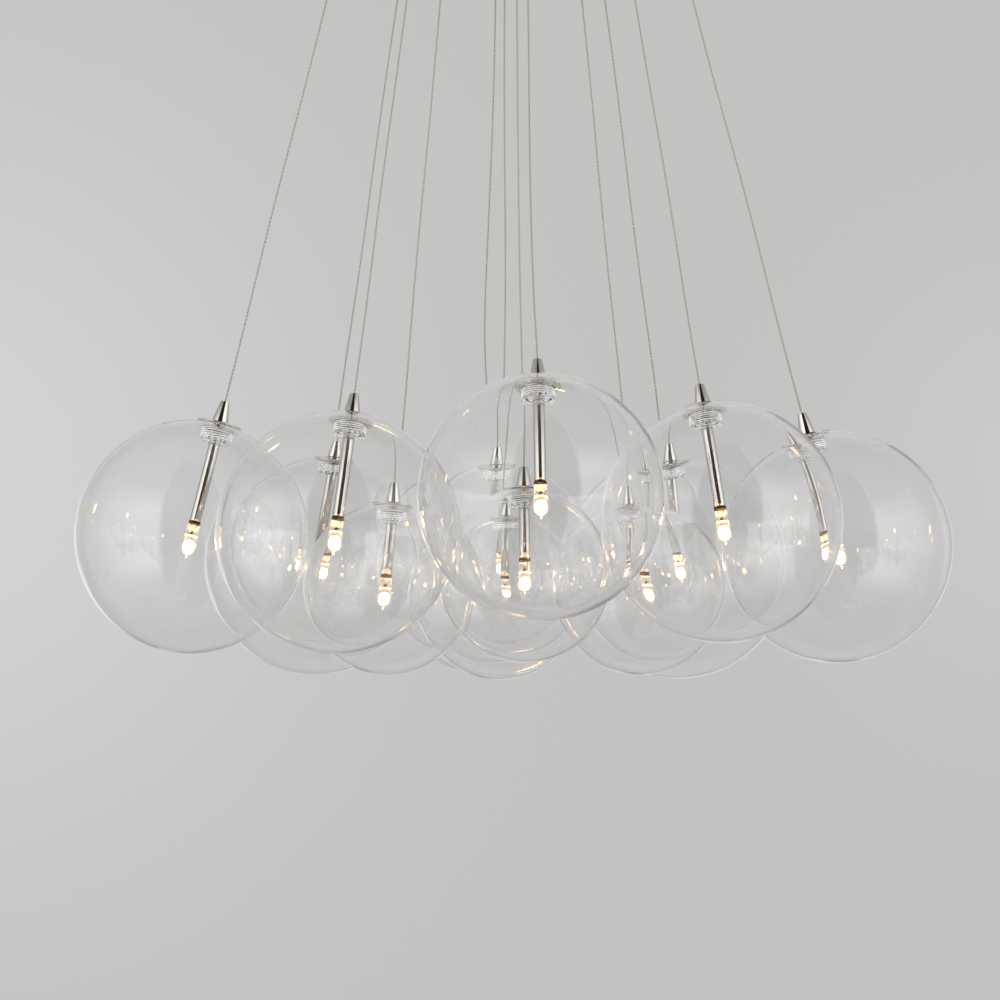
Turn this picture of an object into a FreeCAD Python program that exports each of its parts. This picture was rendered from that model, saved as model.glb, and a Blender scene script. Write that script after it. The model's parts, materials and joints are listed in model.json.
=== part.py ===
"""Cluster pendant: twelve clear glass globes that lean outward on thin cables from one round canopy.

Millimetres. The origin is the centre of the face that meets the ceiling, +Z points up into the ceiling and
the lights hang down along -Z. Every drop is modelled in a frame of its own, whose origin is the globe's
centre and whose +Z runs up the cable to the ball stop that it hangs by.
"""

import FreeCAD
import Part
import Sketcher
import math
import os
from FreeCAD import Placement, Rotation, Vector

doc = FreeCAD.newDocument("ClusterPendant")
sheet = doc.addObject("Spreadsheet::Sheet", "Dimensions")

DIMENSIONS = {
    # glass
    "large_globe_radius": 80,
    "small_globe_radius": 59,
    "glass_wall": 1.9,
    "lip_radius": 1.6,
    "neck_bore_radius": 9.4,
    "neck_wall": 1.5,
    "large_neck_end": 67.2,
    "small_neck_end": 46.0,
    # cap disc, above the globe's centre
    "large_cap_height": 80.4,
    "small_cap_height": 59.1,
    "cap_radius": 15.75,
    "cap_thickness": 1.0,
    "cap_dish": 1.45,
    # threaded collar
    "collar_radius": 9.0,
    "collar_wall": 1.4,
    "collar_drop": 0.65,
    "collar_length": 10.5,
    "collar_web": 1.6,
    # cone ferrule
    "ferrule_base_radius": 5.85,
    "ferrule_top_radius": 3.15,
    "ferrule_height": 14.6,
    "ferrule_socket": 3.0,
    "grip_radius": 0.65,
    "grip_depth": 8.0,
    # stem tube and lampholder
    "stem_radius": 4.0,
    "stem_wall": 0.8,
    "stem_hole_radius": 4.05,
    "stem_gap": 0.2,
    "large_stem_length": 69.6,
    "small_stem_length": 49.8,
    "ring_radius": 4.1,
    "ring_height": 2.4,
    "plug_radius": 3.15,
    "plug_depth": 10.0,
    # capsule lamp
    "pin_radius": 0.35,
    "pin_hole_radius": 0.42,
    "pin_spacing": 4.0,
    "pin_length": 7.0,
    "pinch_gap": 0.5,
    "pinch_width": 8.4,
    "pinch_thickness": 3.8,
    "pinch_height": 8.0,
    "shoulder_radius": 3.4,
    "shoulder_height": 2.5,
    "capsule_radius": 5.1,
    "lamp_length": 23.0,
    "nipple_radius": 1.2,
    "nipple_end_radius": 0.5,
    "nipple_length": 1.8,
    # cable and the ball stop that hangs in the bush
    "cable_radius": 0.6,
    "cable_gap": 0.3,
    "ball_radius": 2.5,
    # canopy
    "canopy_radius": 150,
    "canopy_depth": 36,
    "canopy_sheet": 1.2,
    "canopy_corner": 7,
    "canopy_gap": 0.5,
    "pivot_depth": 33.9,
    # cable bushes
    "outer_pivots": 116,
    "corner_pivots": 98,
    "inner_pivots": 45,
    "bush_hole_radius": 4.3,
    "bush_radius": 4.2,
    "bush_flange_radius": 5.6,
    "bush_flange": 1.5,
    "bush_mouth_radius": 3.7,
    "bush_throat_radius": 2.06,
    "bush_throat_depth": 1.5,
    "bush_seat_radius": 2.55,
    # ceiling plate
    "plate_radius": 143,
    "plate_thickness": 2,
    "mains_hole_radius": 10,
    "fixing_circle_radius": 130,
    "fixing_hole_radius": 2.75,
    "fixing_count": 4,
    # posts and dome nuts that hold the canopy cover
    "post_circle_radius": 72,
    "post_radius": 2.0,
    "post_hole_radius": 2.2,
    "nut_flange_radius": 5.0,
    "nut_flange": 1.2,
    "nut_radius": 3.6,
    # transformer and terminals
    "transformer_length": 100,
    "transformer_width": 34,
    "transformer_height": 24,
    "transformer_edge": 3,
    "transformer_offset": 37,
    "tab_length": 8,
    "tab_thickness": 1.5,
    "tab_width": 18,
    "screw_head_radius": 3,
    "screw_head_height": 2,
    "mains_block_length": 32,
    "mains_block_width": 17,
    "mains_block_height": 15,
    "mains_block_offset": 36,
    "earth_screw_offset": 32,
    "strip_length": 62,
    "strip_width": 12,
    "strip_height": 12,
    "strip_offset": 82,
}

# Each drop: size of globe, circle that its bush lies on, angle of the bush, then where the globe's centre
# is: how far out from the middle, at what angle, and how far down its cable from the ball stop.
DROPS = {
    "right": ("large", "outer", 0, 224, 358.5, 446),
    "back_right": ("large", "corner", 45, 191, 46.5, 443),
    "back": ("large", "outer", 90, 238, 89, 441),
    "back_left": ("large", "corner", 135, 194, 131.3, 441),
    "left": ("large", "outer", 180, 222, 181, 440),
    "front_left": ("large", "corner", 225, 189, 226.5, 447),
    "front": ("large", "outer", 270, 236.5, 269, 441),
    "front_right": ("large", "corner", 315, 190, 311.5, 440),
    "inner_right": ("small", "inner", 0, 87.5, 0, 464),
    "inner_back": ("small", "inner", 90, 86, 91.5, 461),
    "inner_left": ("small", "inner", 180, 87, 178.5, 464),
    "inner_front": ("small", "inner", 270, 85.5, 269.5, 462),
}
DROP_CELLS = ("bush_angle", "globe_out", "globe_angle", "hang")
POST_ANGLES = (30, 150, 270)


def fill_sheet():
    """Writes every driving dimension to the sheet: its name in column A, its value in B under that name."""
    rows = dict(DIMENSIONS)
    for drop, (_, _, *numbers) in DROPS.items():
        for cell, number in zip(DROP_CELLS, numbers):
            rows[f"{drop}_{cell}"] = number
    for row, (name, number) in enumerate(rows.items(), start=1):
        sheet.set(f"A{row}", name)
        sheet.set(f"B{row}", str(number))
        sheet.setAlias(f"B{row}", name)
    doc.recompute()


def terms(words):
    """The signed names in a sum such as 'cap_height - collar_drop'."""
    sign = 1
    for word in words.split():
        if word in ("+", "-"):
            sign = 1 if word == "+" else -1
        else:
            yield sign, word


def value(words):
    """The number that a sum of sheet names comes to."""
    return sum(sign * sheet.get(word) for sign, word in terms(words))


def bound(words):
    """The same sum as an expression on the sheet."""
    cells = [("+ " if sign > 0 else "- ") + f"Dimensions.{word}" for sign, word in terms(words)]
    return " ".join(cells).lstrip("+ ")


def bind(thing, **properties):
    """Ties each property of an object to a sum of sheet names."""
    for name, words in properties.items():
        setattr(thing, name, value(words))
        thing.setExpression(name, bound(words))
    return thing


def add(kind, label, **properties):
    """A new object of the document under its own label, with its properties tied to the sheet."""
    thing = doc.addObject(kind, label)
    thing.Label = label
    return bind(thing, **properties)


def new_sketch(body, plane, label):
    """A sketch on one of the body's own origin planes."""
    sketch = body.newObject("Sketcher::SketchObject", label)
    support = [f for f in body.Origin.OriginFeatures if f.Role == plane][0]
    sketch.AttachmentSupport = (support, [""])
    sketch.MapMode = "FlatFace"
    return sketch


def hold(sketch, kind, *geometry_and_words):
    """Adds a dimension to a sketch and ties it to a sum of sheet names."""
    *geometry, words = geometry_and_words
    index = sketch.addConstraint(Sketcher.Constraint(kind, *geometry, value(words)))
    sketch.setExpression(f"Constraints[{index}]", bound(words))


def hold_point(sketch, line, x, y):
    """Puts the first point of a sketch line at x and y, where 'axis' is x = 0 and 'level' is y = 0."""
    if x == "axis":
        sketch.addConstraint(Sketcher.Constraint("PointOnObject", line, 1, -2))
    else:
        hold(sketch, "DistanceX", -1, 1, line, 1, x)
    if y == "level":
        sketch.addConstraint(Sketcher.Constraint("PointOnObject", line, 1, -1))
    else:
        hold(sketch, "DistanceY", -1, 1, line, 1, y)


def turned(label, corners):
    """A body turned about Z from a closed outline of (radius, height) corners, as hold_point takes them."""
    body = doc.addObject("PartDesign::Body", label)
    body.Label = label
    sketch = new_sketch(body, "XZ_Plane", label + "_outline")
    zero = ("axis", "level")
    points = [Vector(0 if x in zero else value(x), 0 if y in zero else value(y), 0) for x, y in corners]
    for start, end in zip(points, points[1:] + points[:1]):
        sketch.addGeometry(Part.LineSegment(start, end), False)
    for i, (x, y) in enumerate(corners):
        sketch.addConstraint(Sketcher.Constraint("Coincident", (i - 1) % len(points), 2, i, 1))
        hold_point(sketch, i, x, y)
    revolve(body, sketch, label)
    return body


def revolve(body, sketch, label):
    """Turns a sketch's outline right round the body's Z axis."""
    turn = body.newObject("PartDesign::Revolution", label + "_turn")
    turn.Profile = sketch
    turn.ReferenceAxis = (sketch, ["V_Axis"])
    turn.Angle = 360
    sketch.Visibility = False
    return turn


def group(label, members):
    """One sub-part made of separate solids."""
    made = doc.addObject("Part::Compound", label)
    made.Label = label
    made.Links = members
    return made


def cut(label, base, tool):
    """The base solid less the tool."""
    made = doc.addObject("Part::Cut", label)
    made.Label = label
    made.Base = base
    made.Tool = tool
    return made


def globe(label, size):
    """A blown sphere whose wall turns over a rounded lip and runs back down inside as a short neck."""
    body = doc.addObject("PartDesign::Body", label)
    body.Label = label
    sketch = new_sketch(body, "XZ_Plane", label + "_outline")
    radius = value(f"{size}_globe_radius")
    inside = value(f"{size}_globe_radius - glass_wall")
    lip = value("lip_radius")
    bore = value("neck_bore_radius")
    neck = value("neck_bore_radius + neck_wall")
    neck_end = value(f"{size}_neck_end")
    lip_height = math.sqrt((radius - lip) ** 2 - (bore + lip) ** 2)
    lip_angle = math.atan2(lip_height, bore + lip)
    root_height = math.sqrt(inside ** 2 - neck ** 2)
    middle, normal, down = Vector(0, 0, 0), Vector(0, 0, 1), -math.pi / 2

    def arc(centre, size_of_arc, start, end):
        return Part.ArcOfCircle(Part.Circle(centre, normal, size_of_arc), start, end)

    def line(x1, y1, x2, y2):
        return Part.LineSegment(Vector(x1, y1, 0), Vector(x2, y2, 0))

    outer, rim, bore_wall, neck_foot, neck_wall, inner, pole = range(7)
    sketch.addGeometry(
        [
            arc(middle, radius, down, lip_angle),
            arc(Vector(bore + lip, lip_height, 0), lip, lip_angle, math.pi),
            line(bore, lip_height, bore, neck_end),
            line(bore, neck_end, neck, neck_end),
            line(neck, neck_end, neck, root_height),
            arc(middle, inside, down, math.atan2(root_height, neck)),
            line(0, -inside, 0, -radius),
        ],
        False,
    )
    joints = [
        ("Coincident", outer, 3, -1, 1),
        ("Coincident", inner, 3, -1, 1),
        ("Tangent", outer, 2, rim, 1),
        ("Tangent", rim, 2, bore_wall, 1),
        ("Coincident", bore_wall, 2, neck_foot, 1),
        ("Coincident", neck_foot, 2, neck_wall, 1),
        ("Coincident", neck_wall, 2, inner, 2),
        ("Coincident", inner, 1, pole, 1),
        ("Coincident", pole, 2, outer, 1),
        ("PointOnObject", pole, 1, -2),
        ("Vertical", bore_wall),
        ("Horizontal", neck_foot),
        ("Vertical", neck_wall),
        ("Vertical", pole),
    ]
    for joint in joints:
        sketch.addConstraint(Sketcher.Constraint(*joint))
    hold(sketch, "Radius", outer, f"{size}_globe_radius")
    hold(sketch, "Radius", inner, f"{size}_globe_radius - glass_wall")
    hold(sketch, "Radius", rim, "lip_radius")
    hold(sketch, "DistanceX", -1, 1, bore_wall, 1, "neck_bore_radius")
    hold(sketch, "DistanceX", -1, 1, neck_wall, 1, "neck_bore_radius + neck_wall")
    hold(sketch, "DistanceY", -1, 1, neck_foot, 1, f"{size}_neck_end")
    revolve(body, sketch, label)
    return body


def ferrule(label, size):
    """A cone with a blind hole for the cable in its top and a socket for the stem tube in its base."""
    base = f"{size}_cap_height + cap_thickness"
    top = base + " + ferrule_height"
    socket = base + " + ferrule_socket"
    return turned(
        label,
        [
            ("stem_hole_radius", base),
            ("ferrule_base_radius", base),
            ("ferrule_top_radius", top),
            ("grip_radius", top),
            ("grip_radius", top + " - grip_depth"),
            ("axis", top + " - grip_depth"),
            ("axis", socket),
            ("stem_hole_radius", socket),
        ],
    )


def cap_disc(label, size):
    """A thin dished disc that covers the opening of the globe."""
    seat = f"{size}_cap_height"
    return turned(
        label,
        [
            ("stem_hole_radius", seat),
            ("cap_radius", seat + " - cap_dish"),
            ("cap_radius", seat + " - cap_dish + cap_thickness"),
            ("stem_hole_radius", seat + " + cap_thickness"),
        ],
    )


def collar(label, size):
    """A cup-shaped collar that hangs under the cap inside the glass neck."""
    top = f"{size}_cap_height - collar_drop"
    web = top + " - collar_web"
    end = top + " - collar_length"
    return turned(
        label,
        [
            ("stem_hole_radius", top),
            ("collar_radius", top),
            ("collar_radius", end),
            ("collar_radius - collar_wall", end),
            ("collar_radius - collar_wall", web),
            ("stem_hole_radius", web),
        ],
    )


def stem(label, size):
    """The tube that runs from inside the ferrule down to the lampholder."""
    top = f"{size}_cap_height + cap_thickness + ferrule_socket - stem_gap"
    end = f"{size}_cap_height - {size}_stem_length"
    return turned(
        label,
        [
            ("stem_radius - stem_wall", end),
            ("stem_radius", end),
            ("stem_radius", top),
            ("stem_radius - stem_wall", top),
        ],
    )


def lampholder(label, size):
    """A ring under the tube's end with a plug inside the tube and two holes for the lamp's pins."""
    top = f"{size}_cap_height - {size}_stem_length"
    foot = top + " - ring_height"
    head = top + " + plug_depth"
    blank = turned(
        label + "_blank",
        [
            ("axis", foot),
            ("ring_radius", foot),
            ("ring_radius", top),
            ("plug_radius", top),
            ("plug_radius", head),
            ("axis", head),
        ],
    )
    holes = []
    for side, sign in (("left", "- "), ("right", "")):
        hole = add("Part::Cylinder", f"{label}_{side}_hole", Radius="pin_hole_radius")
        bind(hole, Height="ring_height + plug_depth")
        hole.Placement.Base = Vector(value(sign + "pin_spacing") / 2, 0, value(foot))
        holes.append(hole)
    return cut(label, blank, group(label + "_holes", holes))


def lamp(label, size):
    """A capsule lamp: a flat pinch, a round capsule with a drawn tip, and two pins as separate solids."""
    top = f"{size}_cap_height - {size}_stem_length - ring_height"
    pinch_foot = value(top + " - pinch_gap - pinch_height")
    ball = value(top + " - lamp_length + nipple_length + capsule_radius")
    pinch = add(
        "Part::Box", label + "_pinch", Length="pinch_width", Width="pinch_thickness", Height="pinch_height"
    )
    pinch.Placement.Base = Vector(-value("pinch_width") / 2, -value("pinch_thickness") / 2, pinch_foot)
    neck = add(
        "Part::Cone",
        label + "_shoulder",
        Radius1="capsule_radius",
        Radius2="shoulder_radius",
        Height="shoulder_height",
    )
    neck.Placement.Base = Vector(0, 0, pinch_foot)
    barrel = add("Part::Cylinder", label + "_barrel", Radius="capsule_radius")
    barrel.Height = pinch_foot - ball
    barrel.Placement.Base = Vector(0, 0, ball)
    dome = add("Part::Sphere", label + "_dome", Radius="capsule_radius")
    dome.Placement.Base = Vector(0, 0, ball)
    nipple = add(
        "Part::Cone", label + "_nipple", Radius1="nipple_end_radius", Radius2="nipple_radius"
    )
    nipple.Height = value("nipple_length + nipple_radius")
    nipple.Placement.Base = Vector(0, 0, value(top + " - lamp_length"))
    capsule = doc.addObject("Part::MultiFuse", label + "_capsule")
    capsule.Label = label + "_capsule"
    capsule.Shapes = [pinch, neck, barrel, dome, nipple]
    pins = []
    for side, sign in (("left", "- "), ("right", "")):
        pin = add("Part::Cylinder", f"{label}_{side}_pin", Radius="pin_radius", Height="pin_length")
        pin.Placement.Base = Vector(value(sign + "pin_spacing") / 2, 0, value(top + " - pinch_gap"))
        pins.append(pin)
    return group(label, [capsule] + pins)


def fitting(label, size):
    """Everything that carries the globe and the lamp: ferrule, cap, collar, stem tube and lampholder."""
    makers = (ferrule, cap_disc, collar, stem, lampholder)
    return group(label, [make(f"{label}_{make.__name__}", size) for make in makers])


def cable(label, size, drop):
    """A straight taut cable from inside the ferrule up to the ball stop that hangs in the bush."""
    foot = value(f"{size}_cap_height + cap_thickness + ferrule_height - grip_depth + cable_gap")
    wire = add("Part::Cylinder", label + "_wire", Radius="cable_radius")
    wire.Height = value(f"{drop}_hang") - foot
    wire.Placement.Base = Vector(0, 0, foot)
    ball = add("Part::Sphere", label + "_ball", Radius="ball_radius")
    ball.Placement.Base = Vector(0, 0, value(f"{drop}_hang"))
    made = doc.addObject("Part::Fuse", label)
    made.Label = label
    made.Base = wire
    made.Tool = ball
    return made


def pivot_of(drop):
    """Where the ball stop of a drop sits: the point that the drop hangs from."""
    circle = DROPS[drop][1]
    angle = math.radians(value(f"{drop}_bush_angle"))
    out = value(f"{circle}_pivots")
    return Vector(out * math.cos(angle), out * math.sin(angle), value("- pivot_depth"))


def globe_centre(drop):
    """The globe's centre, on a sphere of the hang length round the ball stop."""
    pivot = pivot_of(drop)
    angle = math.radians(value(f"{drop}_globe_angle"))
    out = value(f"{drop}_globe_out")
    x, y = out * math.cos(angle), out * math.sin(angle)
    lean = math.hypot(x - pivot.x, y - pivot.y)
    return Vector(x, y, pivot.z - math.sqrt(value(f"{drop}_hang") ** 2 - lean ** 2))


def drop_place(drop):
    """The drop's own frame: at the globe's centre, with +Z up the cable."""
    centre = globe_centre(drop)
    return Placement(centre, Rotation(Vector(0, 0, 1), pivot_of(drop) - centre))


def make_drops():
    """The four sub-parts of each of the twelve drops."""
    made = []
    for drop, (size, *_) in DROPS.items():
        place = drop_place(drop)
        pieces = [
            globe(f"{drop}_globe", size),
            fitting(f"{drop}_fitting", size),
            lamp(f"{drop}_lamp", size),
            cable(f"{drop}_cable", size, drop),
        ]
        for piece in pieces:
            piece.Placement = place
        made += pieces
    return made


def circle_points(radius, angles):
    """Points on a circle about the middle of the canopy."""
    return [
        Vector(radius * math.cos(math.radians(a)), radius * math.sin(math.radians(a)), 0) for a in angles
    ]


def drill(body, label, holes):
    """Cuts round holes right through a body, each from its centre and the sheet name of its radius."""
    sketch = new_sketch(body, "XY_Plane", label)
    for i, (centre, radius) in enumerate(holes):
        sketch.addGeometry(Part.Circle(centre, Vector(0, 0, 1), value(radius)), False)
        hold(sketch, "Radius", i, radius)
        for kind, place in (("DistanceX", centre.x), ("DistanceY", centre.y)):
            if abs(place) > 1e-9:
                sketch.addConstraint(Sketcher.Constraint(kind, -1, 1, i, 3, place))
            else:
                axis = -2 if kind == "DistanceX" else -1
                sketch.addConstraint(Sketcher.Constraint("PointOnObject", i, 3, axis))
    pocket = body.newObject("PartDesign::Pocket", label + "_cut")
    pocket.Profile = sketch
    pocket.Midplane = True
    pocket.Type = "ThroughAll"
    sketch.Visibility = False
    return pocket


def round_edge(body, label, radius, height, fillet):
    """Rounds the one circular edge of a body that has this radius and height, all in sums of sheet names."""
    doc.recompute()
    base = body.Tip
    edges = []
    for i, edge in enumerate(base.Shape.Edges, start=1):
        box = edge.BoundBox
        misses = (box.ZLength, abs(box.XMax - value(radius)), abs(box.ZMin - value(height)))
        if max(misses) < 0.01:
            edges.append(f"Edge{i}")
    rounded = body.newObject("PartDesign::Fillet", label)
    rounded.Base = (base, edges)
    return bind(rounded, Radius=fillet)


def canopy_cover():
    """A spun pan with a rounded edge, with a hole for each bush and each post."""
    inside = "canopy_radius - canopy_sheet"
    body = turned(
        "canopy_cover",
        [
            ("axis", "- canopy_depth"),
            ("canopy_radius", "- canopy_depth"),
            ("canopy_radius", "- canopy_gap"),
            (inside, "- canopy_gap"),
            (inside, "- canopy_depth + canopy_sheet"),
            ("axis", "- canopy_depth + canopy_sheet"),
        ],
    )
    round_edge(body, "canopy_corner_outside", "canopy_radius", "- canopy_depth", "canopy_corner")
    floor = "- canopy_depth + canopy_sheet"
    round_edge(body, "canopy_corner_inside", inside, floor, "canopy_corner - canopy_sheet")
    pivots = [pivot_of(drop) for drop in DROPS]
    holes = [(Vector(p.x, p.y, 0), "bush_hole_radius") for p in pivots]
    holes += [(p, "post_hole_radius") for p in circle_points(value("post_circle_radius"), POST_ANGLES)]
    drill(body, "canopy_holes", holes)
    return body


def ceiling_plate():
    """The flat plate that is screwed to the ceiling, with a hole for the mains cable."""
    body = turned(
        "ceiling_plate",
        [
            ("mains_hole_radius", "- plate_thickness"),
            ("plate_radius", "- plate_thickness"),
            ("plate_radius", "level"),
            ("mains_hole_radius", "level"),
        ],
    )
    count = int(value("fixing_count"))
    angles = [45 + 360 / count * i for i in range(count)]
    spots = circle_points(value("fixing_circle_radius"), angles)
    drill(body, "fixing_holes", [(spot, "fixing_hole_radius") for spot in spots])
    return body


def cable_bushes():
    """A flanged bush in the canopy for each cable: a ring seat for the ball above a wide flare."""
    bushes = []
    for drop in DROPS:
        label = f"{drop}_bush"
        under = "pivot_depth - canopy_depth"
        blank = turned(
            label + "_blank",
            [
                ("bush_mouth_radius", under + " - bush_flange"),
                ("bush_flange_radius", under + " - bush_flange"),
                ("bush_flange_radius", under),
                ("bush_radius", under),
                ("bush_radius", "level"),
                ("bush_throat_radius", "level"),
                ("bush_throat_radius", "- bush_throat_depth"),
            ],
        )
        seat = add("Part::Sphere", label + "_seat", Radius="bush_seat_radius")
        bush = cut(label, blank, seat)
        bush.Placement.Base = pivot_of(drop)
        bushes.append(bush)
    return group("cable_bushes", bushes)


def canopy_posts():
    """Three posts from the ceiling plate down through the canopy cover."""
    posts = []
    for i, spot in enumerate(circle_points(value("post_circle_radius"), POST_ANGLES), start=1):
        post = add(
            "Part::Cylinder",
            f"canopy_post_{i}",
            Radius="post_radius",
            Height="canopy_depth + nut_flange - plate_thickness",
        )
        post.Placement.Base = Vector(spot.x, spot.y, value("- canopy_depth - nut_flange"))
        posts.append(post)
    return group("canopy_posts", posts)


def canopy_nuts():
    """Dome nuts that hold the canopy cover up on its posts."""
    nuts = []
    for i, spot in enumerate(circle_points(value("post_circle_radius"), POST_ANGLES), start=1):
        label = f"canopy_nut_{i}"
        flange = add("Part::Cylinder", label + "_flange", Radius="nut_flange_radius", Height="nut_flange")
        flange.Placement.Base = Vector(0, 0, value("- nut_flange"))
        dome = add("Part::Sphere", label + "_dome", Radius="nut_radius")
        dome.Angle1 = -90
        dome.Angle2 = 0
        dome.Placement.Base = Vector(0, 0, value("- nut_flange"))
        whole = doc.addObject("Part::Fuse", label + "_blank")
        whole.Base = flange
        whole.Tool = dome
        bore = add("Part::Cylinder", label + "_bore", Radius="post_radius", Height="nut_flange")
        bore.Placement.Base = Vector(0, 0, value("- nut_flange"))
        nut = cut(label, whole, bore)
        nut.Placement.Base = Vector(spot.x, spot.y, value("- canopy_depth"))
        nuts.append(nut)
    return group("canopy_nuts", nuts)


def rounded_block(label, length, width, height, edge):
    """A block centred on X and Y that hangs from z = 0, with its upright edges rounded."""
    block = add("Part::Box", label + "_block", Length=length, Width=width, Height=height)
    block.Placement.Base = Vector(-value(length) / 2, -value(width) / 2, -value(height))
    doc.recompute()
    upright = [
        i
        for i, e in enumerate(block.Shape.Edges, start=1)
        if abs(e.Vertexes[0].Z - e.Vertexes[-1].Z) > value(height) / 2
    ]
    made = doc.addObject("Part::Fillet", label + "_rounded")
    made.Base = block
    made.Edges = [(i, value(edge), value(edge)) for i in upright]
    return made


def transformer():
    """A slim low-voltage transformer with a screw tab at each end."""
    size = ("transformer_length", "transformer_width", "transformer_height")
    case = rounded_block("transformer_case", *size, "transformer_edge")
    tabs = add("Part::Box", "transformer_tabs", Width="tab_width", Height="tab_thickness")
    tabs.Length = value("transformer_length + tab_length + tab_length")
    tabs.Placement.Base = Vector(-tabs.Length.Value / 2, -value("tab_width") / 2, -value("tab_thickness"))
    made = doc.addObject("Part::Fuse", "transformer")
    made.Label = "transformer"
    made.Base = case
    made.Tool = tabs
    made.Placement.Base = Vector(0, value("transformer_offset"), value("- plate_thickness"))
    return made


def transformer_screws():
    """A pan head under each tab of the transformer."""
    heads = []
    reach = value("transformer_length + tab_length") / 2
    for side, x in (("left", -reach), ("right", reach)):
        head = add(
            "Part::Cylinder",
            f"transformer_screw_{side}",
            Radius="screw_head_radius",
            Height="screw_head_height",
        )
        foot = value("- plate_thickness - tab_thickness - screw_head_height")
        head.Placement.Base = Vector(x, value("transformer_offset"), foot)
        heads.append(head)
    return group("transformer_screws", heads)


def terminal_block(label, length, width, height):
    """A plain terminal block that hangs from z = 0."""
    block = add("Part::Box", label + "_block", Length=length, Width=width, Height=height)
    block.Placement.Base = Vector(-value(length) / 2, -value(width) / 2, -value(height))
    return block


def mains_terminal():
    """The block that takes the mains cable."""
    block = terminal_block("mains_terminal", "mains_block_length", "mains_block_width", "mains_block_height")
    made = group("mains_terminal", [block])
    made.Placement.Base = Vector(0, value("- mains_block_offset"), value("- plate_thickness"))
    return made


def lamp_terminals():
    """Two strips that share the low voltage out to the twelve cables."""
    strips = []
    for side, x in (("left", "- strip_offset"), ("right", "strip_offset")):
        strip = terminal_block(f"lamp_terminals_{side}", "strip_width", "strip_length", "strip_height")
        strip.Placement.Base = strip.Placement.Base + Vector(value(x), 0, value("- plate_thickness"))
        strips.append(strip)
    return group("lamp_terminals", strips)


def earth_screw():
    """The screw that earths the ceiling plate."""
    screw = add("Part::Cylinder", "earth_screw", Radius="screw_head_radius", Height="screw_head_height")
    foot = value("- plate_thickness - screw_head_height")
    screw.Placement.Base = Vector(value("earth_screw_offset"), value("- mains_block_offset"), foot)
    return screw


def make_canopy():
    """Everything at the ceiling."""
    makers = (
        ceiling_plate,
        canopy_cover,
        cable_bushes,
        canopy_posts,
        canopy_nuts,
        transformer,
        transformer_screws,
        mains_terminal,
        lamp_terminals,
        earth_screw,
    )
    return [make() for make in makers]


def check(parts):
    """Stops if any object of the document failed, or if a sub-part has no sound shape."""
    doc.recompute()
    for thing in doc.Objects:
        if "Invalid" in thing.State or "Error" in thing.State:
            raise RuntimeError(f"{thing.Label} failed: {thing.State}")
    for part in parts:
        if part.Shape.isNull() or not part.Shape.isValid() or not part.Shape.Solids:
            raise RuntimeError(f"{part.Label} has no sound shape")


def export(parts):
    """Writes each sub-part to a file of its own name."""
    os.makedirs("parts", exist_ok=True)
    for part in parts:
        part.Shape.exportStep(f"parts/{part.Label}.step")


fill_sheet()
sub_parts = make_canopy() + make_drops()
check(sub_parts)
export(sub_parts)
print(len(sub_parts), "sub-parts,", sum(len(part.Shape.Solids) for part in sub_parts), "solids")
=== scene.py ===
"""Cluster pendant: twelve clear glass globes with capsule lamps, hung on thin cables from a round canopy.

Metres, in the frame of the CAD model: the origin is the centre of the face that meets the ceiling and +Z
points up. Each drop is made in a frame of its own, with its origin at the globe's centre and +Z up the
cable, and then put in its place. Sizes inside that frame are millimetres.
"""

import json
import math

import bmesh
import bpy
import numpy as np
from mathutils import Matrix, Vector

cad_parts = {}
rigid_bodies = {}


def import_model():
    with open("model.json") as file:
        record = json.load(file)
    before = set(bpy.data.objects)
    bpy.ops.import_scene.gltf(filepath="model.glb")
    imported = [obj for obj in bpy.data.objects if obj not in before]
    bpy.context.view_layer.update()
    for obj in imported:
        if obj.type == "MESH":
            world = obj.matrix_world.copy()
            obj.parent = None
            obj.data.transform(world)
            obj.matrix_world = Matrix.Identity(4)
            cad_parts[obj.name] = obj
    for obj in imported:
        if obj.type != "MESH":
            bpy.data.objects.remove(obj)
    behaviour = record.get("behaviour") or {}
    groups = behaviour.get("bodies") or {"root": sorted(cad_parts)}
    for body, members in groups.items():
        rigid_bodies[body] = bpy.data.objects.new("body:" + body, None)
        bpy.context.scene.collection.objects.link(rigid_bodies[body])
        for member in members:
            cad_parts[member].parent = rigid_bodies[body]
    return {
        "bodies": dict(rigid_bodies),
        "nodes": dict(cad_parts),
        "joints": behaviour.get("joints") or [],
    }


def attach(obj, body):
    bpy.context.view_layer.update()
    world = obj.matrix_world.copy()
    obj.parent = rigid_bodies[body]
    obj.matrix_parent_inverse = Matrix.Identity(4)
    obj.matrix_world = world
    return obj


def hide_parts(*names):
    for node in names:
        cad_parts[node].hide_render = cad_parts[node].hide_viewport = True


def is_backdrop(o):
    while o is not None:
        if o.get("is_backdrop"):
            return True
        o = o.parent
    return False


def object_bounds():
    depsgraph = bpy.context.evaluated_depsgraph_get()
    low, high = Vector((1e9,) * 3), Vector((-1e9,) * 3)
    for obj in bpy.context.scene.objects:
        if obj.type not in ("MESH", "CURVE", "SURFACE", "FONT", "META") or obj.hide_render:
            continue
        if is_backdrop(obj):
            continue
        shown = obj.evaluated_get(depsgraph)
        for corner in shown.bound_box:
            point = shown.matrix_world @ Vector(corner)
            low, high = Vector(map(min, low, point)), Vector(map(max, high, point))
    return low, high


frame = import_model()
cad_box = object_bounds()

MM = 0.001
TURN = 2 * math.pi

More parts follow.
